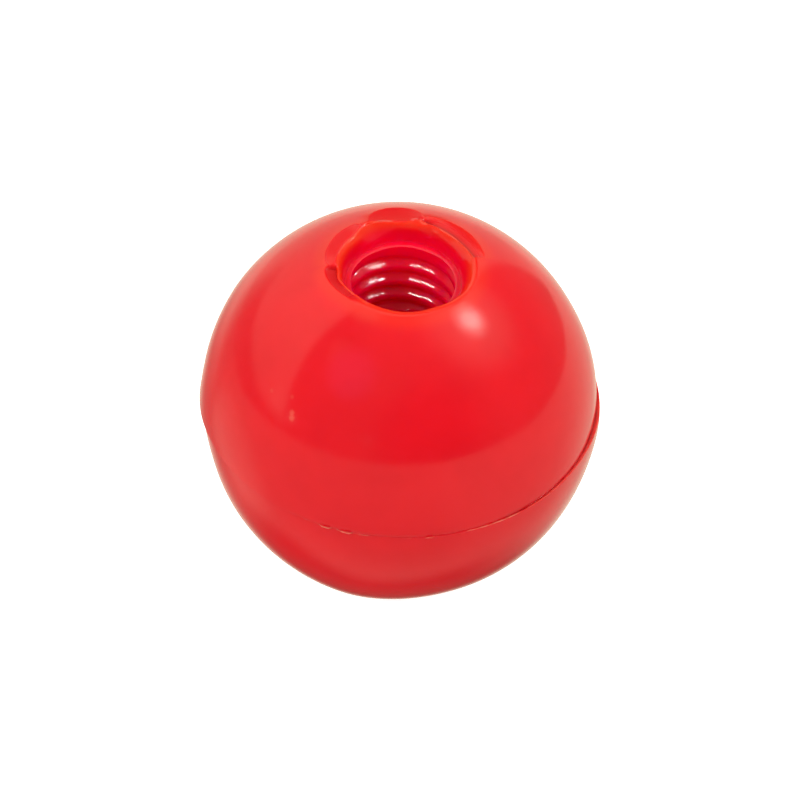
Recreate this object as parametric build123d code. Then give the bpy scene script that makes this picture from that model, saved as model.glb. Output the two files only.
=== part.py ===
from build123d import *
from build123d.topology import SkipClean
import os
from math import radians, tan

# Ball knob for the end of a lever: one injection-moulded ball of red plastic
# with a moulded-in blind thread. Millimetres, +Z up, out of the hole's mouth.
# Origin: the ball's centre, on the axis of the hole.

# --- ball, moulded in two half cavities that met a little off-centre
ball_r = 12.5            # upper half, the half with the hole
lower_r = 12.47          # lower half
parting_z = 0.31         # height of the parting plane
lower_shift_x = 0.26     # sideways mismatch of the lower half, towards +X
lower_drop = 0.11        # the lower half sits this much further down

# --- mouth, trimmed by hand with a knife: flat cuts, as (azimuth of the cut's
# normal, tilt of the normal from +Z, distance of the cut from the centre)
trim_cuts = (
    (89.6, 18.3, 12.300),
    (136.4, 3.7, 11.705),
    (-162.7, 3.6, 11.836),
    (57.1, 7.4, 11.828),
)

# --- counterbore between the mouth and the thread, as (radius, height) points
ledge_z = 10.27          # flat ring at the counterbore's bottom
ledge_r = 3.54           # outer edge of that ring
wall_mid = (3.69, 10.98)
mouth = (4.14, 11.68)    # where the wall turns out into the rounded lip
lip = (4.49, 11.89)      # where the lip runs out of the ball

# --- thread M8 x 1.25, right-hand, 60 degree flanks
pitch = 1.25
minor_r = 3.3235         # crest of the internal thread
major_r = 4.0            # root of the internal thread
root_flat = pitch / 8    # width of the groove's floor
groove_top_z = 9.535     # middle of the groove where it ends, below the ledge
groove_top_deg = 278.0   # and the azimuth of that end
groove_turns = 8
groove_overrun = 0.12    # the cutter starts this far inside the crest circle

# --- plain end of the hole, below the thread, as wide as the thread's crest
hole_end_z = -2.50       # bottom of the blind hole
hole_end_chamfer = 0.30

# ball: two half balls on each side of the parting plane
upper = Sphere(ball_r) & Pos(0, 0, parting_z + 20) * Box(60, 60, 40)
lower = (Pos(lower_shift_x, 0, -lower_drop) * Sphere(lower_r)) & (
    Pos(0, 0, parting_z - 20) * Box(60, 60, 40)
)
knob = upper + lower

# flat knife cuts round the mouth
for azimuth, tilt, distance in trim_cuts:
    cutter = (
        Rot(0, 0, azimuth)
        * Rot(0, tilt, 0)
        * Pos(0, 0, distance + 5)
        * Box(40, 40, 10)
    )
    knob = knob - cutter

# hole: plain end, thread crest diameter, flat ring, rounded counterbore
with BuildPart() as hole:
    with BuildSketch(Plane.XZ):
        with BuildLine():
            Polyline(
                (0, 14.0),
                (0, hole_end_z),
                (minor_r - hole_end_chamfer, hole_end_z),
                (minor_r, hole_end_z + hole_end_chamfer),
                (minor_r, ledge_z),
                (ledge_r, ledge_z),
            )
            Spline((ledge_r, ledge_z), wall_mid, mouth, lip,
                   tangents=((0.12, 1), (1, 0.22)))
            Polyline(lip, (5.9, 12.25), (5.9, 14.0), (0, 14.0))
        make_face()
    revolve(axis=Axis.Z)
knob = knob - hole.part

# thread: a 60 degree groove swept up a right-hand helix
groove_depth = major_r - minor_r


def half_width(radius):
    """Half the groove's width at this distance from the axis."""
    return root_flat / 2 + (major_r - radius) * tan(radians(30))


helix = Helix(
    pitch=pitch,
    height=pitch * groove_turns,
    radius=minor_r,
    center=(0, 0, groove_top_z - pitch * groove_turns),
)
with BuildSketch(Plane(origin=helix @ 0, x_dir=(1, 0, 0), z_dir=helix % 0)) as tooth:
    Polygon(
        (-groove_overrun, -half_width(minor_r - groove_overrun)),
        (groove_depth, -root_flat / 2),
        (groove_depth, root_flat / 2),
        (-groove_overrun, half_width(minor_r - groove_overrun)),
        align=None,
    )
groove = Rot(0, 0, groove_top_deg) * sweep(tooth.sketch, path=helix, is_frenet=True)
before = knob.volume
knob = knob - groove
print("groove took", round(before - knob.volume, 2), "mm3")

# the wall of the hole keeps a seam on the plane x = 0 as well as the one on +X,
# so that each strip of the thread's crest is a half turn or a quarter turn long
with SkipClean():
    half = Pos(20, 0, 0) * Box(40, 60, 60)
    knob = (knob & half) + (knob - half)

print("solids", len(knob.solids()), "volume", round(knob.volume, 1), "valid", knob.is_valid)
print("box", knob.bounding_box())

os.makedirs("parts", exist_ok=True)
export_step(knob, "parts/ball_knob.step")
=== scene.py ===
from math import cos, degrees, pi, radians, sin, sqrt, tan

import bpy
import numpy as np
from mathutils import Matrix, Vector


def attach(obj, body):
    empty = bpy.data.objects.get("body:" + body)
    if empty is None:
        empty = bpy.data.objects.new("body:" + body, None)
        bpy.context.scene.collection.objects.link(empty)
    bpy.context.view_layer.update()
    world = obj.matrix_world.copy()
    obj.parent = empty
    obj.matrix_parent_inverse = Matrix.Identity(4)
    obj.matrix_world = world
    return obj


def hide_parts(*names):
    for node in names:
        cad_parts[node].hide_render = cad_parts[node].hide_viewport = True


# Lever knob: one moulded ball of glossy red plastic with a recessed, moulded
# thread. Lengths below are in millimetres and become metres in the mesh.
# Azimuths are degrees anticlockwise from +X, seen from +Z.

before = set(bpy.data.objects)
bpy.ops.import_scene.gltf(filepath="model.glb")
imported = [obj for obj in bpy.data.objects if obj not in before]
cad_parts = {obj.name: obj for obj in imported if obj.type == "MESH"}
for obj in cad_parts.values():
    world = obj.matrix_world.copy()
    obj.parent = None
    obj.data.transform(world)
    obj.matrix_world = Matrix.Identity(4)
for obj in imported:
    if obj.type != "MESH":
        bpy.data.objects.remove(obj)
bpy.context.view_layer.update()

MM = 0.001
COLUMNS = 352

# ball
BALL_R = 12.5
LOWER_R = 12.47
PARTING_Z = 0.31
LOWER_DX = 0.26
LOWER_DZ = -0.11

# recess and thread
RIM_Z = 11.48
LEDGE_Z = 10.25
LEDGE_R = 3.585
CREST_R = 3.300
PITCH = 1.25
GROOVE_DEPTH = 0.48
GROOVE_AZ = 98.0      # at this azimuth the middle of a groove is at GROOVE_Z
GROOVE_Z = 8.91
THREAD_END_Z = -0.95
HOLE_END_Z = -2.50

# view: elevation of the camera, lean of the hole's axis in the picture
ELEVATION = radians(44.6)
ROLL = radians(2.55)
DISTANCE = 0.5
PX_PER_MM = 15.85

PHI = np.arange(COLUMNS) * 2 * pi / COLUMNS
AZ = (np.degrees(PHI) + 180.0) % 360.0 - 180.0
rng = np.random.RandomState(7)


# --- small helpers ---------------------------------------------------------
def smooth(x, a, b):
    """0 below a, 1 above b, smooth between."""
    t = np.clip((np.asarray(x, float) - a) / (b - a), 0, 1)
    return t * t * (3 - 2 * t)


def turn(a, b):
    """Difference a - b of two azimuths, from -180 to 180."""
    return (np.asarray(a) - b + 180.0) % 360.0 - 180.0


def window(a0, a1, s0, s1, az=AZ):
    """1 between the azimuths a0 and a1, with edges s0 and s1 degrees wide."""
    mid = a0 + ((a1 - a0) % 360) / 2
    half = ((a1 - a0) % 360) / 2
    d = turn(az, mid)
    return smooth(d, -half, -half + s0) * (1 - smooth(d, half - s1, half))


def bell(x, centre, width):
    return np.exp(-(((np.asarray(x) - centre) / width) ** 2))


def bell_az(centre, width, az=AZ):
    return np.exp(-((turn(az, centre) / width) ** 2))


def ring(table, blur=3.0):
    """A closed curve through (azimuth, value) points, softened over blur degrees."""
    t = sorted(table)
    a = np.array([p[0] for p in t], float)
    v = np.array([p[1] for p in t], float)
    a = np.concatenate([a[-1:] - 360, a, a[:1] + 360])
    v = np.concatenate([v[-1:], v, v[:1]])
    y = np.interp(AZ, a, v)
    k = np.arange(COLUMNS)
    k = np.minimum(k, COLUMNS - k) * 360.0 / COLUMNS
    w = np.exp(-((k / blur) ** 2) / 2)
    w /= w.sum()
    return np.real(np.fft.ifft(np.fft.fft(y) * np.fft.fft(w)))


def wobble(amp, low, high, seed):
    """A closed, slightly irregular curve with waves of low to high per turn."""
    r = np.random.RandomState(seed)
    y = np.zeros(COLUMNS)
    for k in range(low, high + 1):
        y += r.uniform(-1, 1) * np.sin(k * PHI + r.uniform(0, 2 * pi))
    return amp * y / np.abs(y).max()


def on_ball(r):
    return np.sqrt(BALL_R**2 - np.asarray(r, float) ** 2)


# --- shape of the mouth ----------------------------------------------------
rim_r = ring(
    [
        (-174, 4.03), (-163, 4.12), (-151, 3.98), (-134, 3.82), (-113, 3.80),
        (-95, 3.90), (-79, 3.93), (-61, 3.90), (-42, 4.10), (-26, 4.24),
        (-11, 4.23), (5, 4.22), (21, 4.36), (35, 4.22), (52, 4.10),
        (66, 4.26), (74, 4.16), (82, 4.05), (100, 4.13), (112, 4.30),
        (119, 4.37), (127, 4.30), (140, 3.97), (163, 4.02),
    ],
    2.0,
)
rim_z = RIM_Z + wobble(0.012, 2, 9, 3)

# four places where a knife took the flash off the mouth. Two of the cuts are
# flat: (azimuth and tilt of the cut's normal, its distance from the centre).
CUT_BACK = (97.8, radians(21.0), 12.377)
CUT_LEFT = (150.0, radians(6.0), 11.868)


def cut_height(cut, r):
    azimuth, tilt, distance = cut
    return (distance - r * sin(tilt) * np.cos(np.radians(turn(AZ, azimuth)))) / cos(tilt)


def cut_edge(cut):
    """Where the flat cut runs out of the ball, as a radius per azimuth."""
    azimuth, tilt, distance = cut
    a = sin(tilt) * np.cos(np.radians(turn(AZ, azimuth)))
    b = cos(tilt)
    root = distance**2 * a**2 - (a**2 + b**2) * (distance**2 - b**2 * BALL_R**2)
    r = (distance * a + np.sqrt(np.maximum(root, 0))) / (a**2 + b**2)
    return np.where((root > 0) & (a > 0), r, 0.0)


in_left = window(124, 192, 15, 32)
in_front = window(-179, -124, 3.0, 20)
in_right = window(14, 80, 2.0, 9)

edge_plain = 4.66 + wobble(0.05, 2, 6, 5)
edge_back = cut_edge(CUT_BACK)
edge_left = cut_edge(CUT_LEFT) * smooth(in_left, 0, 0.35)
edge_front = ring([(-184, 4.84), (-176, 4.95), (-170, 4.95), (-161, 4.87), (-149, 4.71), (-137, 4.54), (-128, 4.40), (-118, 4.45)], 1.5)
edge_right = ring([(8, 4.90), (14, 5.10), (19, 5.24), (25, 5.28), (34, 5.36), (45, 5.42), (58, 5.33), (68, 5.16), (78, 4.92), (86, 4.70)], 1.5)
edge_r = np.maximum(edge_plain, np.maximum(edge_back, edge_left))
edge_r = edge_r + (edge_front - edge_r) * in_front
edge_r = edge_r + (edge_right - edge_r) * in_right
edge_r = edge_r + wobble(0.010, 8, 40, 9) * np.clip(in_right + in_front + in_left, 0, 1)

# where the right-hand cut ends against the lip it left standing
crease_r = ring([(8, 4.58), (14, 4.70), (19, 4.60), (24, 4.46), (37, 4.34), (54, 4.38), (70, 4.50), (80, 4.60)], 2.0)
crease_r = rim_r + (0.42 - 0.24 * in_front) * (edge_r - rim_r) * (1 - in_right) + (crease_r - rim_r) * in_right


def mouth_ring(t):
    """Radius and height of the ring at t, from the outer edge (0) over the
    crease (0.6) to the rim (1), how much of it is cut, how much painted shade
    lies in the crease and how much painted pale glint lies on the burrs."""
    if t <= 0.6:
        r = edge_r + (crease_r - edge_r) * t / 0.6
    else:
        r = crease_r + (rim_r - crease_r) * (t - 0.6) / 0.4
    q = on_ball(rim_r) - rim_z
    lip_out = np.minimum(edge_plain, edge_r)
    plain = q * np.clip((lip_out - r) / (lip_out - rim_r), 0, 1) ** 2.3
    back = 2.1 * (on_ball(r) - cut_height(CUT_BACK, r))
    left = (on_ball(r) - cut_height(CUT_LEFT, r)) * in_left
    left = left - 0.05 * in_left * bell(t, 0.90, 0.06)
    drop = np.maximum(plain, np.maximum(back, left))
    cut = 0.5 * smooth(back, 0.0, 0.012) * smooth(back - plain, -0.01, 0.02)
    cut = np.maximum(cut, smooth(left, 0.0, 0.03) * (1 - smooth(t, 0.74, 0.84)))
    front_z = on_ball(edge_r) - 0.25 * (edge_r - np.maximum(r, crease_r))
    front_z = front_z + (rim_z + 0.03 - front_z) * smooth(t, 0.60, 0.80) - 0.03 * smooth(t, 0.86, 1.0)
    front = on_ball(r) - front_z
    right = 0.46 * min(t / 0.6, 1.0) ** 1.15 + 0.0 * q
    right = right - 0.14 * smooth(t, 0.60, 0.68) + (q - 0.32) * smooth(t, 0.76, 1.0) ** 1.3
    drop = drop + (front - drop) * in_front
    drop = drop + (right - drop) * in_right
    cut = cut + (smooth(t, 0.0, 0.10) * (1 - smooth(t, 0.60, 0.68)) - cut) * in_front
    cut = cut + (smooth(t, 0.0, 0.40) * (1 - smooth(t, 0.60, 0.64)) - cut) * in_right
    # painted shade: the bottoms of the crevices the blade left on the right and the front are darkened where shadow
    # falls in them
    crease = 0.55 * in_right * smooth(t, 0.40, 0.58) * (1 - smooth(t, 0.62, 0.66))
    crease = crease + 0.32 * in_front * smooth(t, 0.0, 0.20) * (1 - smooth(t, 0.62, 0.76))
    # nicks and burrs left by the blade
    drop = drop - 0.07 * bell_az(82.0, 2.2) * bell(t, 0.80, 0.06)
    drop = drop + 0.06 * bell_az(121.5, 2.0) * bell(t, 0.75, 0.12)
    drop = drop - 0.06 * bell_az(72.0, 3.0) * bell(t, 0.28, 0.12)
    # the burrs are also painted pale as glints where they catch the light
    burr = bell_az(73.5, 2.0) * bell(t, 0.93, 0.05) + 0.5 * window(99, 122, 5, 6) * bell(t, 0.94, 0.03)
    drop = drop - 0.05 * burr
    z = on_ball(r) - drop
    return r, z, cut, crease, 0.8 * burr


# --- shape of the thread ---------------------------------------------------
def _profile_table():
    """Depth of the groove against distance from its middle, in pitches: flanks
    that ease off towards the root, with the corners rounded by the mould."""
    n = 2000
    p = (np.arange(n) + 0.5) / n - 0.5
    d = np.abs(p)
    u = np.clip((0.375 - d) / (0.375 - 0.0625), 0, 1)
    g = u * (1 + 0.35 * (1 - u))
    k = np.arange(n)
    k = np.minimum(k, n - k) / n
    w = np.exp(-((k / 0.030) ** 2) / 2)
    w /= w.sum()
    return p, np.real(np.fft.ifft(np.fft.fft(g) * np.fft.fft(w)))


_P, _G = _profile_table()


def groove(z):
    """How far the groove stands outside the crest circle at height z, per column."""
    turns = (z - GROOVE_Z) / PITCH - (np.degrees(PHI) - GROOVE_AZ) / 360.0
    k = np.round(turns)
    p = turns - k
    angle = np.degrees(PHI) + 360.0 * k          # how far up the helix this turn is
    fade = 1 - smooth(angle, 372, 428)
    fade = fade * smooth(z, THREAD_END_Z - 0.2, THREAD_END_Z + 0.5)
    return GROOVE_DEPTH * np.interp(p, _P, _G) * fade


# --- rings of the mesh, from the bottom of the ball to the bottom of the hole
points = []
marks = {"cut": [], "lip": [], "bore": [], "crease": [], "flash": []}


def put(x, y, z, cut=0.0, lip=0.0, bore=0.0, crease=0.0, flash=0.0):
    one = np.ones(COLUMNS)
    points.append(np.stack([x * one, y * one, z * one], 1))
    marks["cut"].append(cut * one)
    marks["lip"].append(lip * one)
    marks["bore"].append(bore * one)
    marks["crease"].append(crease * one)
    marks["flash"].append(flash * one)


def put_round(r, z, **kw):
    put(r * np.cos(PHI), r * np.sin(PHI), z, **kw)


# lower half, with the slight unevenness its outline shows
RIGHT = np.array([1.0, 0, 0])
UP = np.array([0, sin(ELEVATION), cos(ELEVATION)])
BACK = np.array([0, -cos(ELEVATION), sin(ELEVATION)])
SCREEN_X = RIGHT * cos(ROLL) + UP * sin(ROLL)
SCREEN_Y = -RIGHT * sin(ROLL) + UP * cos(ROLL)
# how far the outline stands off the true balls, by the direction round it
# (degrees clockwise from the right, millimetres)
LOW_SWELL = (
    (0, 0.0), (4, 0.055), (8, 0.04), (12, 0.0), (16, -0.05), (24, -0.10), (32, -0.12),
    (48, -0.105), (64, -0.10), (76, -0.09), (84, -0.04), (92, 0.05), (104, 0.17),
    (112, 0.15), (120, 0.125), (136, 0.085), (148, 0.06), (160, 0.0), (165, -0.02), (169, 0.02),
    (174, 0.07), (180, 0.05), (190, 0.0), (345, 0.0), (352, -0.06),
)
HIGH_SWELL = (
    (0, 0.045), (10, 0.0), (166, -0.01), (171, 0.07), (176, 0.065), (180, 0.03), (184, 0.0), (188, -0.075), (200, -0.055),
    (208, -0.04), (216, 0.0), (330, 0.0), (340, 0.05), (348, 0.07), (354, 0.06),
)


def swell(direction, table):
    right, up, back = direction @ SCREEN_X, direction @ SCREEN_Y, direction @ BACK
    angle = np.degrees(np.arctan2(-up, right)) % 360
    a = np.array([p[0] for p in table] + [table[0][0] + 360], float)
    v = np.array([p[1] for p in table] + [table[0][1]], float)
    out = 0
    for shift, weight in ((-4, 0.15), (-2, 0.22), (0, 0.26), (2, 0.22), (4, 0.15)):
        out = out + weight * np.interp((angle + shift) % 360, a, v)
    return out * np.clip(1 - back**2, 0, 1) ** 3


beta_top = degrees(np.arcsin((PARTING_Z - LOWER_DZ) / LOWER_R))


def lower_point(beta, inset=0.0):
    b = radians(beta)
    d = np.stack([cos(b) * np.cos(PHI), cos(b) * np.sin(PHI), sin(b) + 0 * PHI], 1)
    rad = LOWER_R + swell(d, LOW_SWELL) - inset
    p = d * rad[:, None]
    p[:, 0] += LOWER_DX
    p[:, 2] += LOWER_DZ
    return p


pole_low = np.array([LOWER_DX, 0, LOWER_DZ - LOWER_R - 0.0])
low_rows = 46
for i in range(1, low_rows + 1):
    beta = -90 + (beta_top - 0.9 + 90) * i / low_rows
    p = lower_point(beta)
    put(p[:, 0], p[:, 1], p[:, 2])

# parting line: the two halves meet with a step, a crevice and a little flash
rag = wobble(0.010, 20, 90, 11) + wobble(0.006, 5, 20, 12)
fleck = window(-112.8, -108.5, 0.8, 0.8) + 0.9 * window(-106.8, -102.1, 0.8, 0.8)
fleck = fleck + 0.35 * window(-117.1, -115.3, 0.6, 0.6) + 0.30 * window(-101.5, -97.5, 1, 1)
fleck = fleck + 0.35 * window(-87, -85.8, 0.4, 0.4) + 0.45 * window(-81.4, -79.0, 0.4, 0.4)
flecks = 0.22 * np.minimum(fleck, 1)
ragged = smooth(wobble(1.0, 15, 80, 31), -0.5, 0.3)
# painted highlight: the flash flecks and the ledge of the parting line on the right are painted pale where they
# catch the light
flash = np.clip(fleck + window(-70, -50, 3, 6) * (0.35 + 0.5 * ragged) + 0.30 * window(-52, 10, 6, 12), 0, 1)
# painted shade: a dark line along the crevice of the parting line on the right, where shadow falls above the step
parting_shade = window(-62, 24, 8, 10) * (0.55 + 0.45 * ragged)
p = lower_point(beta_top - 0.60)
put(p[:, 0], p[:, 1], p[:, 2])
p = lower_point(beta_top - 0.25, -0.8 * flecks)
put(p[:, 0], p[:, 1], p[:, 2], flash=0.8 * fleck)
rim_low = lower_point(beta_top)
low_ang = np.arctan2(rim_low[:, 1], rim_low[:, 0])
low_rad = np.hypot(rim_low[:, 0], rim_low[:, 1]) + flecks + rag * window(-70, 70, 25, 25)
low_rad_soft = low_rad - 0.018
flat = np.stack([np.cos(PHI), np.sin(PHI), 0 * PHI], 1)
high = swell(flat, HIGH_SWELL)
up_rad = sqrt(BALL_R**2 - PARTING_Z**2) + high
for rad, z in ((low_rad - 0.002, PARTING_Z - 0.016), (low_rad_soft, PARTING_Z - 0.002)):
    put(rad * np.cos(low_ang), rad * np.sin(low_ang), z, flash=flash)
calm = 1 - 0.95 * window(-188, -118, 8, 5)     # the crevice closes on the left
parting_shade = parting_shade * calm
deep = np.minimum(low_rad, up_rad) - (0.055 + 0.02 * smooth(np.cos(PHI), 0.2, 0.8)) * calm + rag
put_round(deep, PARTING_Z + 0.004, crease=parting_shade)
put_round(up_rad - (0.016 - 0.4 * rag) * calm, PARTING_Z + 0.016, crease=parting_shade)
put_round(np.sqrt(BALL_R**2 - (PARTING_Z + 0.05) ** 2) + high - 0.001, PARTING_Z + 0.05, crease=0.25 * parting_shade)

# upper half, up to where the blade or the rounding of the mouth starts
theta_start = degrees(np.arccos((PARTING_Z + 0.05) / BALL_R))
theta_end = np.degrees(np.arcsin((edge_r + 0.05) / BALL_R))
up_rows = 51
# the last rows below the mouth get part of the painted orange glow of the mouth edge
for i in range(1, up_rows + 1):
    th = np.radians(theta_start + (theta_end - theta_start) * i / up_rows)
    d = np.stack([np.sin(th) * np.cos(PHI), np.sin(th) * np.sin(PHI), np.cos(th)], 1)
    rad = BALL_R + swell(d, HIGH_SWELL) * smooth(th, 0.5, 0.9)
    near_mouth = np.degrees(np.max(th)) - np.degrees(np.max(np.radians(theta_end)))
    put_round(rad * np.sin(th), rad * np.cos(th), lip=0.45 * (1 - smooth(near_mouth, 0.0, 4.5)))
put_round(edge_r + 0.012, on_ball(edge_r + 0.012), lip=0.45)

# trimmed band and lip
for t in (0.012, 0.06, 0.13, 0.21, 0.29, 0.37, 0.45, 0.52, 0.57, 0.60, 0.64, 0.69, 0.75, 0.82, 0.89, 0.95, 1.0):
    r, z, cut, crease, burr = mouth_ring(t)
    put_round(r, z, cut=cut, crease=crease, flash=burr, lip=(0.45 + 0.55 * smooth(t, 0.05, 0.95)) * (1 - cut))

# bell-mouthed wall of the recess
P0 = (rim_r, rim_z)
P1 = (rim_r - 0.20, rim_z - 0.20)
ledge_out = ring([(-178, LEDGE_R), (-90, LEDGE_R), (0, LEDGE_R), (40, 3.62), (60, 3.66), (75, 3.71), (90, 3.77), (102, 3.75), (112, 3.64), (122, 3.52), (135, 3.52), (160, LEDGE_R)], 4.0)
ledge_in = ring([(-178, -0.04), (-90, -0.04), (0, -0.04), (45, -0.06), (60, -0.13), (75, -0.12), (90, -0.09), (105, -0.09), (122, -0.13), (140, -0.08), (160, -0.05)], 4.0) + CREST_R
P2 = (ledge_out + 0.06, LEDGE_Z + 0.55 + 0 * PHI)
P3 = (ledge_out + 0.012, LEDGE_Z + 0.03 + 0 * PHI)
# a small dent in the wall, its edge painted pale as a glint
dent = bell_az(62.0, 3.2)
for u in (0.07, 0.14, 0.21, 0.29, 0.37, 0.45, 0.54, 0.63, 0.72, 0.81, 0.89, 0.95, 1.0):
    b = ((1 - u) ** 3, 3 * u * (1 - u) ** 2, 3 * u**2 * (1 - u), u**3)
    r = sum(c * p[0] for c, p in zip(b, (P0, P1, P2, P3)))
    z = sum(c * p[1] for c, p in zip(b, (P0, P1, P2, P3)))
    r = r - 0.05 * dent * bell(u, 0.22, 0.10)
    put_round(r, z, lip=1 - smooth(u, 0.05, 0.55), bore=smooth(u, 0.30, 0.85),
              flash=0.35 * dent * bell(u, 0.21, 0.07))

# flat ring at the bottom of the recess
edge_rough = wobble(0.012, 15, 60, 21) * window(35, 85, 10, 10) + wobble(0.006, 4, 30, 22)
for r, z in (
    (ledge_out, LEDGE_Z + 0.006),
    (ledge_out - 0.03, LEDGE_Z),
    (0.6 * ledge_out + 0.4 * ledge_in, LEDGE_Z + 0.003),
    (ledge_in + 0.025 + edge_rough, LEDGE_Z),
    (ledge_in + edge_rough, LEDGE_Z - 0.012),
    (ledge_in + 0.005 + edge_rough, LEDGE_Z - 0.055),
):
    put_round(r, z + 0.6 * edge_rough, bore=1.0)

# thread: dense where it is seen, coarser below
thread_ring = len(points)
heights = list(np.arange(LEDGE_Z - 0.115, 5.6, -0.060)) + list(np.arange(5.54, THREAD_END_Z - 0.3, -0.128))
for z in heights:
    r = CREST_R + groove(z)
    put_round(r, z, bore=1.0)

# plain end of the hole
for r, z in ((CREST_R, HOLE_END_Z + 0.32), (CREST_R - 0.04, HOLE_END_Z + 0.20),
             (CREST_R - 0.26, HOLE_END_Z + 0.02), (CREST_R - 0.34, HOLE_END_Z), (1.6, HOLE_END_Z)):
    put_round(r + 0 * PHI, z, bore=1.0)
pole_high = np.array([0, 0, HOLE_END_Z])

rings = len(points)
verts = np.concatenate(points + [pole_low[None], pole_high[None]])
low_index = rings * COLUMNS
high_index = low_index + 1
faces = []
for i in range(rings - 1):
    a = i * COLUMNS
    b = a + COLUMNS
    for j in range(COLUMNS):
        k = (j + 1) % COLUMNS
        faces.append((a + j, a + k, b + k, b + j))
last = (rings - 1) * COLUMNS
for j in range(COLUMNS):
    k = (j + 1) % COLUMNS
    faces.append((low_index, k, j))
    faces.append((last + j, last + k, high_index))

mesh = bpy.data.meshes.new("ball_knob_surface")
mesh.from_pydata((verts * MM).tolist(), [], faces)
mesh.update()
mesh.validate()
for name, rows in marks.items():
    layer = mesh.attributes.new(name, "FLOAT", "POINT")
    end = 1.0 if name == "bore" else 0.0
    layer.data.foreach_set("value", np.concatenate(rows + [[0.0], [end]]).astype(np.float32))
inside = np.array([min(f) // COLUMNS >= thread_ring - 1 for f in faces], dtype=np.int32)
mesh.polygons.foreach_set("material_index", inside)
mesh.shade_smooth()
mesh.set_sharp_from_angle(angle=radians(38))
knob = bpy.data.objects.new("ball_knob_moulding", mesh)
bpy.context.scene.collection.objects.link(knob)


# --- node helpers ----------------------------------------------------------
class Nodes:
    def __init__(self, tree):
        self.tree = tree
        tree.nodes.clear()

    def new(self, kind, **props):
        n = self.tree.nodes.new(kind)
        for k, v in props.items():
            setattr(n, k, v)
        return n

    def link(self, a, b):
        self.tree.links.new(a, b)

    def put(self, socket, value):
        if hasattr(value, "is_output"):
            self.link(value, socket)
        else:
            socket.default_value = value

    def math(self, op, a, b=0.0, c=0.0, clamp=False):
        n = self.new("ShaderNodeMath", operation=op, use_clamp=clamp)
        self.put(n.inputs[0], a)
        self.put(n.inputs[1], b)
        self.put(n.inputs[2], c)
        return n.outputs[0]

    def step(self, v, a, b, lo=0.0, hi=1.0):
        """lo at a and hi at b, smooth between."""
        n = self.new("ShaderNodeMapRange", interpolation_type="SMOOTHSTEP", clamp=True)
        self.put(n.inputs["Value"], v)
        self.put(n.inputs["From Min"], a)
        self.put(n.inputs["From Max"], b)
        self.put(n.inputs["To Min"], lo)
        self.put(n.inputs["To Max"], hi)
        return n.outputs["Result"]

    def dot(self, v, c):
        n = self.new("ShaderNodeVectorMath", operation="DOT_PRODUCT")
        self.put(n.inputs[0], v)
        n.inputs[1].default_value = c
        return n.outputs["Value"]

    def mix(self, f, a, b):
        n = self.new("ShaderNodeMix", data_type="FLOAT")
        self.put(n.inputs[0], f)
        self.put(n.inputs[2], a)
        self.put(n.inputs[3], b)
        return n.outputs[0]

    def mix_colour(self, f, a, b):
        n = self.new("ShaderNodeMix", data_type="RGBA")
        self.put(n.inputs[0], f)
        self.put(n.inputs[6], a)
        self.put(n.inputs[7], b)
        return n.outputs[2]

    def noise(self, v, scale, detail=2.0, rough=0.5):
        n = self.new("ShaderNodeTexNoise")
        self.link(v, n.inputs["Vector"])
        n.inputs["Scale"].default_value = scale
        n.inputs["Detail"].default_value = detail
        n.inputs["Roughness"].default_value = rough
        return n.outputs[0]

    def attribute(self, name):
        n = self.new("ShaderNodeAttribute", attribute_type="GEOMETRY", attribute_name=name)
        return n.outputs["Fac"]


# --- red plastic -----------------------------------------------------------
PALE_SPOTS = (
    ((-6.5, -8.34, 6.67), 0.22, 0.55),
    ((-6.5, -8.53, 6.42), 0.24, 0.60),
    ((-6.53, -7.68, 7.39), 0.17, 0.24),
    ((-7.83, -6.8, 6.98), 0.16, 0.20),
)


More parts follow.
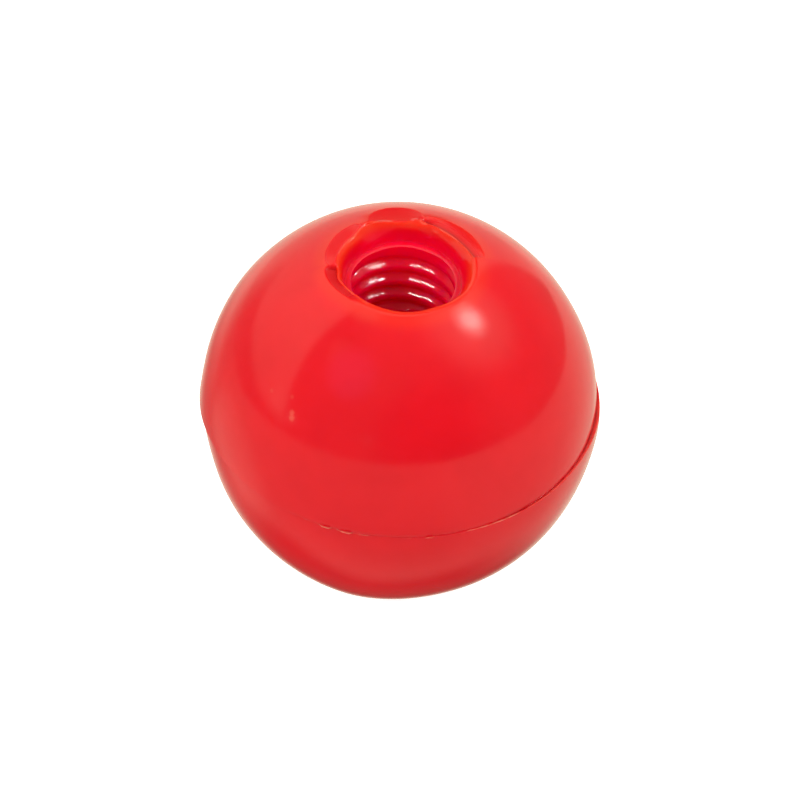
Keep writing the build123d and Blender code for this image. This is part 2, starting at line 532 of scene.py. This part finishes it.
def plastic(name, specular, depth, in_hole):
    """Red plastic: glossy with a fine orange peel outside, duller where the
    core pin was unscrewed from the thread."""
    red = bpy.data.materials.new(name)
    red.use_nodes = True
    N = Nodes(red.node_tree)
    coord = N.new("ShaderNodeTexCoord").outputs["Object"]
    shader = N.new("ShaderNodeBsdfPrincipled")
    out = N.new("ShaderNodeOutputMaterial")
    N.link(shader.outputs[0], out.inputs["Surface"])
    shader.inputs["IOR"].default_value = 1.5
    shader.inputs["Specular IOR Level"].default_value = specular
    shader.inputs["Subsurface Weight"].default_value = 0.9
    shader.inputs["Subsurface Radius"].default_value = (1.0, 0.15, 0.15)
    shader.inputs["Subsurface Scale"].default_value = depth

    cloud = N.noise(coord, 240.0, 3.0, 0.55)
    grain = N.noise(coord, 5200.0, 2.0, 0.5)
    deep = N.mix_colour(cloud, (0.790, 0.0008, 0.0330, 1), (0.830, 0.0011, 0.0370, 1))
    if in_hole:
        body = deep
        rough = N.math("MULTIPLY_ADD", grain, 0.020, 0.070)
    else:
        cut, lip, bore, crease, flash = (N.attribute(k) for k in ("cut", "lip", "bore", "crease", "flash"))
        body = N.mix_colour(N.step(cloud, 0.3, 0.7), (0.800, 0.0032, 0.0160, 1), (0.850, 0.0046, 0.0180, 1))
        # painted glow: an orange, lighter colour round the mouth edge and the top of the recess wall stands in for
        # light shining through the thin plastic
        body = N.mix_colour(N.math("MULTIPLY", lip, 0.92), body, (0.880, 0.0340, 0.0085, 1))
        body = N.mix_colour(cut, body, (0.800, 0.0022, 0.0110, 1))
        # painted shade: dark red in the crevices at the mouth and along the parting line, where shadow falls
        body = N.mix_colour(crease, body, (0.360, 0.0010, 0.0040, 1))
        # painted highlight: the flash, the burrs and the dent in the wall are painted pale, as glints where they
        # catch the light
        body = N.mix_colour(flash, body, (0.930, 0.240, 0.180, 1))
        body = N.mix_colour(N.math("MULTIPLY", bore, 0.85), body, deep)
        # small pale spots: (place in mm, radius in mm, strength)
        for place, size, strength in PALE_SPOTS:
            away = N.new("ShaderNodeVectorMath", operation="DISTANCE")
            N.link(coord, away.inputs[0])
            away.inputs[1].default_value = tuple(c * MM for c in place)
            edge = N.math("MULTIPLY_ADD", grain, 0.5 * size * MM, away.outputs["Value"])
            spot = N.step(edge, 1.5 * size * MM, 0.4 * size * MM, 0.0, strength)
            body = N.mix_colour(spot, body, (0.900, 0.150, 0.110, 1))
        rough = N.math("MULTIPLY_ADD", cloud, 0.04, 0.105)
        rough = N.mix(cut, rough, 0.30)
        rough = N.mix(N.math("MULTIPLY", bore, 0.8), rough, 0.17)
    N.link(body, shader.inputs["Base Color"])
    N.link(rough, shader.inputs["Roughness"])

    peel = N.noise(coord, 900.0, 2.0, 0.5)
    bump = N.new("ShaderNodeBump")
    bump.inputs["Strength"].default_value = 0.5
    bump.inputs["Distance"].default_value = 0.000012
    N.link(N.math("MULTIPLY_ADD", grain, 0.10, peel), bump.inputs["Height"])
    normal = bump
    if not in_hole:
        drag = N.new("ShaderNodeMapping")
        drag.inputs["Scale"].default_value = (600.0, 600.0, 9000.0)
        N.link(coord, drag.inputs["Vector"])
        lines = N.noise(drag.outputs[0], 1.0, 2.0, 0.6)
        normal = N.new("ShaderNodeBump")
        normal.inputs["Distance"].default_value = 0.00003
        N.link(N.math("MULTIPLY", cut, 0.5), normal.inputs["Strength"])
        N.link(lines, normal.inputs["Height"])
        N.link(bump.outputs[0], normal.inputs["Normal"])
    N.link(normal.outputs[0], shader.inputs["Normal"])
    return red


mesh.materials.append(plastic("red_plastic_finish", 0.5, 0.0006, False))
mesh.materials.append(plastic("red_plastic_thread", 0.2, 0.0035, True))

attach(knob, "root")
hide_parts("ball_knob")

# --- floor -----------------------------------------------------------------
white = bpy.data.materials.new("pale_floor")
white.use_nodes = True
F = Nodes(white.node_tree)
fs = F.new("ShaderNodeBsdfPrincipled")
fs.inputs["Base Color"].default_value = (0.86, 0.86, 0.85, 1)
fs.inputs["Roughness"].default_value = 0.9
fs.inputs["Emission Color"].default_value = (1, 1, 1, 1)
fs.inputs["Emission Strength"].default_value = 0.85
F.link(fs.outputs[0], F.new("ShaderNodeOutputMaterial").inputs["Surface"])
side = 3.0
floor_z = (LOWER_DZ - LOWER_R) * MM - 0.00002
fm = bpy.data.meshes.new("floor")
fm.from_pydata(
    [(-side, -side, floor_z), (side, -side, floor_z), (side, side, floor_z), (-side, side, floor_z)],
    [], [(0, 1, 2, 3)],
)
fm.materials.append(white)
floor = bpy.data.objects.new("floor", fm)
bpy.context.scene.collection.objects.link(floor)
floor.visible_glossy = False
floor.visible_diffuse = False
floor.visible_shadow = False

# --- studio ----------------------------------------------------------------
# The room as the ball reflects it: a pale table below, a dark room in front,
# a bright wall behind and to the left, and a soft lamp up on the right.
world = bpy.data.worlds.new("studio")
bpy.context.scene.world = world
world.use_nodes = True
W = Nodes(world.node_tree)
d = W.new("ShaderNodeTexCoord").outputs["Generated"]
xyz = W.new("ShaderNodeSeparateXYZ")
W.link(d, xyz.inputs[0])
dx, dy, dz = xyz.outputs


def heading(az, el):
    """Direction at az degrees from the camera's side towards +X, el above level."""
    a, e = radians(az), radians(el)
    return (sin(a) * cos(e), -cos(a) * cos(e), sin(e))


def patch(az, el, inner, outer):
    c = W.dot(d, heading(az, el))
    return W.step(c, cos(radians(outer)), cos(radians(inner)))


KEY = heading(107, 53)
v = 0.290
v = W.mix(W.step(dx, 0.10, -0.35), v, 0.27)
v = W.mix(patch(22, 20, 12, 42), v, 0.130)
v = W.mix(W.step(dz, 0.86, 0.985), v, 0.38)
v = W.mix(patch(-68, 53, 2, 10), v, 0.50)
v = W.mix(patch(-22, 60, 3, 22), v, 0.34)
v = W.mix(patch(-17, 18, 1, 4), v, 0.45)
pink = patch(-46, 50, 8, 18)
v = W.mix(pink, v, 0.42)
glow = patch(107, 53, 6, 38)
v = W.math("MULTIPLY_ADD", W.math("POWER", glow, 2.0), 0.75, v)
wall_a = W.step(W.dot(d, (0.2937, -0.8645, 0.4079)), 0.125, 0.062)
wall_b = W.step(dx, 0.53, 0.47)
wall_c = W.step(dz, 0.0, 0.10)
back_side = W.mix(W.step(dz, -0.55, -0.38), W.step(dx, -0.30, 0.10), W.step(dx, -0.78, -0.46))
wall_low = W.math("MAXIMUM", wall_c, back_side)
wall = W.math("MULTIPLY", W.math("MULTIPLY", wall_a, wall_b), wall_low)
wall_v = W.mix(W.step(dz, 0.0, 0.75), 0.66, 1.02)
v = W.mix(wall, v, wall_v)
panel = W.math("MULTIPLY", W.step(dy, 0.60, 0.72), W.step(dz, -0.14, -0.06))
aside = W.math("ABSOLUTE", dx)
panel_high = W.math("MULTIPLY", W.step(dx, -0.26, -0.06), W.step(dx, 0.46, 0.33))
panel_side = W.mix(W.step(dz, 0.15, 0.40), W.step(aside, 0.18, 0.12), panel_high)
panel = W.math("MULTIPLY", panel, panel_side)
v = W.mix(panel, v, 0.13)
v = W.mix(patch(-77, 11, 3, 8), v, 0.90)
v = W.mix(patch(-64, 9, 1, 3.5), v, 1.05)
v = W.mix(patch(-122, 71, 3, 11), v, 0.95)
table_a = W.step(W.dot(d, (0.0197, -0.1908, -0.9814)), 0.062, 0.086)
table_v = W.mix(W.step(dz, -0.15, -0.80), 0.57, 0.46)
table_left = W.mix(W.step(dz, -0.56, -0.36), W.step(dx, -0.50, -0.12), W.step(dx, -0.78, -0.46))
table_back = W.mix(table_left, 0.32, 0.88)
table_back = W.mix(W.step(dx, 0.28, 0.45), table_back, 0.68)
table_v = W.mix(W.step(dy, 0.05, 0.60), table_v, table_back)
table_v = W.math("MULTIPLY", table_v, W.step(dx, 0.25, 0.60, 1.0, 1.18))
table_v = W.mix(patch(-100, -33, 4, 24), table_v, 0.74)
under = W.math("MULTIPLY", W.step(dz, -0.76, -0.90), W.step(dy, -0.30, 0.05))
under = W.math("MULTIPLY", under, W.step(dx, 0.60, 0.20))
table_v = W.mix(under, table_v, 0.12)
v = W.mix(table_a, v, table_v)
tint = W.new("ShaderNodeCombineColor")
W.link(v, tint.inputs[0])
W.link(W.math("MULTIPLY", v, 0.97), tint.inputs[1])
W.link(W.math("MULTIPLY_ADD", v, 0.76, W.math("MULTIPLY", pink, 0.30)), tint.inputs[2])
studio = W.new("ShaderNodeBackground")
W.link(tint.outputs[0], studio.inputs["Color"])
plain = W.new("ShaderNodeBackground")
plain.inputs["Color"].default_value = (1, 1, 1, 1)
plain.inputs["Strength"].default_value = 1.0
path = W.new("ShaderNodeLightPath")
pick = W.new("ShaderNodeMixShader")
W.link(path.outputs["Is Camera Ray"], pick.inputs[0])
W.link(studio.outputs[0], pick.inputs[1])
W.link(plain.outputs[0], pick.inputs[2])
W.link(pick.outputs[0], W.new("ShaderNodeOutputWorld").inputs["Surface"])


def aim(obj, direction, distance, target=(0, 0, 0)):
    """Puts a lamp in that direction from target, pointing at it."""
    dirv = Vector(direction).normalized()
    obj.location = Vector(target) + dirv * distance
    obj.rotation_mode = "QUATERNION"
    obj.rotation_quaternion = dirv.to_track_quat("Z", "Y")


def disk_lamp(name, direction, distance, half_angle, radiance, colour):
    radius = distance * tan(radians(half_angle))
    lamp = bpy.data.lights.new(name, "AREA")
    lamp.shape = "DISK"
    lamp.size = 2 * radius
    lamp.energy = radiance * pi * pi * radius**2
    lamp.color = colour
    o = bpy.data.objects.new(name, lamp)
    bpy.context.scene.collection.objects.link(o)
    aim(o, direction, distance)
    return o


def sun(name, direction, strength, angle, colour):
    lamp = bpy.data.lights.new(name, "SUN")
    lamp.energy = strength
    lamp.angle = radians(angle)
    lamp.color = colour
    o = bpy.data.objects.new(name, lamp)
    bpy.context.scene.collection.objects.link(o)
    aim(o, direction, 1.0)
    o.visible_glossy = False
    return o


for k, (half_angle, radiance) in enumerate(((3.3, 2.6), (5.6, 2.6), (7.6, 2.0), (10.5, 1.0))):
    disk_lamp("lamp_%d" % k, KEY, 0.40 + 0.01 * k, half_angle, radiance, (1.0, 0.96, 0.88))
sun("fill_top", (0, 0, 1), 0.98, 100, (1.0, 0.97, 0.93))
sun("fill_front", (0.08, -1, 0.3), 0.50, 100, (1.0, 0.97, 0.93))
sun("fill_front_left", (-1, -1, 0.3), 0.80, 100, (1.0, 0.97, 0.93))
sun("fill_right", (1, 0, 0.2), 0.70, 100, (1.0, 0.97, 0.93))
sun("fill_low_left", (-1, 0, -1), 0.66, 100, (1.0, 0.97, 0.93))


def hole_lamp(name, direction, distance, half_angle, reach, energy, target, gloss):
    """A narrow lamp that only reaches the hole, where its beam is reach mm in radius."""
    lamp = bpy.data.lights.new(name, "SPOT")
    lamp.spot_size = 2 * np.arctan(reach * MM / distance)
    lamp.spot_blend = 0.3
    lamp.shadow_soft_size = distance * tan(radians(half_angle))
    lamp.energy = energy
    lamp.color = (1.0, 0.95, 0.95)
    o = bpy.data.objects.new(name, lamp)
    bpy.context.scene.collection.objects.link(o)
    aim(o, direction, distance, tuple(c * MM for c in target))
    o.visible_glossy = gloss
    o.visible_diffuse = not gloss
    o.visible_camera = False
    return o


def mirrored(bearing, rise):
    """Direction that a surface in the hole shows to the camera, where its normal
    points to that bearing (from +X) and rises by that angle."""
    b, r = radians(bearing), radians(rise)
    n = np.array([cos(r) * cos(b), cos(r) * sin(b), sin(r)])
    return 2 * (n @ BACK) * n - BACK


FILLS = (
    # bearing and tilt from +Z of the lamp, beam radius, energy, target
    (-90, 36, 3.0, 0.25, (0, 0.5, 10.6)),
    (-150, 32, 3.0, 0.40, (0.5, 0.5, 10.4)),
    (-30, 32, 3.0, 0.40, (-0.5, 0.5, 10.4)),
    (90, 25, 3.0, 0.20, (0, 0, 10.6)),
    (-90, 56, 1.8, 0.36, (0.3, 3.3, 8.4)),
    (-90, 68, 1.0, 0.22, (0.3, 3.4, 9.2)),
    (-145, 47, 2.2, 0.95, (2.5, 2.3, 6.9)),
    (-35, 56, 2.0, 0.45, (-2.4, 2.4, 8.4)),
)
for k, (a, tilt, reach, energy, target) in enumerate(FILLS):
    a, tilt = radians(a), radians(tilt)
    hole_lamp("hole_fill_%d" % k, (sin(tilt) * cos(a), sin(tilt) * sin(a), cos(tilt)),
              0.30, 0.3, reach, energy, target, False)
STREAKS = (
    # side, first and last bearing of the wall that shows it, rise, lamps, lamp's
    # half angle, energy, height and radius of the lit patch of the thread
    ("left", 115, 132, 53.9, 12, 1.2, 0.0046, 7.4, 1.8),
    ("right", 62, 83, 54.0, 12, 1.2, 0.0042, 7.5, 1.8),
    ("right_low", 84.5, 88, 54.0, 3, 1.2, 0.0070, 6.0, 1.0),
    ("top_left", 119, 150, 48, 12, 1.2, 0.0115, 8.8, 1.0),
)
for side_name, first, last_b, rise, lamps, half_angle, energy, height, reach in STREAKS:
    for k in range(lamps):
        w = first + (last_b - first) * k / (lamps - 1)
        spot = (3.4 * cos(radians(w)), 3.4 * sin(radians(w)), height)
        hole_lamp("hole_lamp_%s_%d" % (side_name, k), mirrored(w - 180, rise),
                  0.06, half_angle, reach, energy, spot, True)

# --- camera ----------------------------------------------------------------
cam_data = bpy.data.cameras.new("camera")
cam_data.sensor_width = 36.0
cam_data.lens = 356.6
cam_data.clip_start = 0.01
cam_data.clip_end = 20.0
camera = bpy.data.objects.new("camera", cam_data)
bpy.context.scene.collection.objects.link(camera)
where = BACK * DISTANCE + SCREEN_X * (2.1 / PX_PER_MM * MM) - SCREEN_Y * (0.4 / PX_PER_MM * MM)
rot = Matrix((SCREEN_X, SCREEN_Y, BACK)).transposed()
camera.matrix_world = Matrix.Translation(Vector(where)) @ rot.to_4x4()
bpy.context.scene.camera = camera
bpy.context.scene.view_settings.view_transform = "Standard"
bpy.context.scene.view_settings.look = "None"
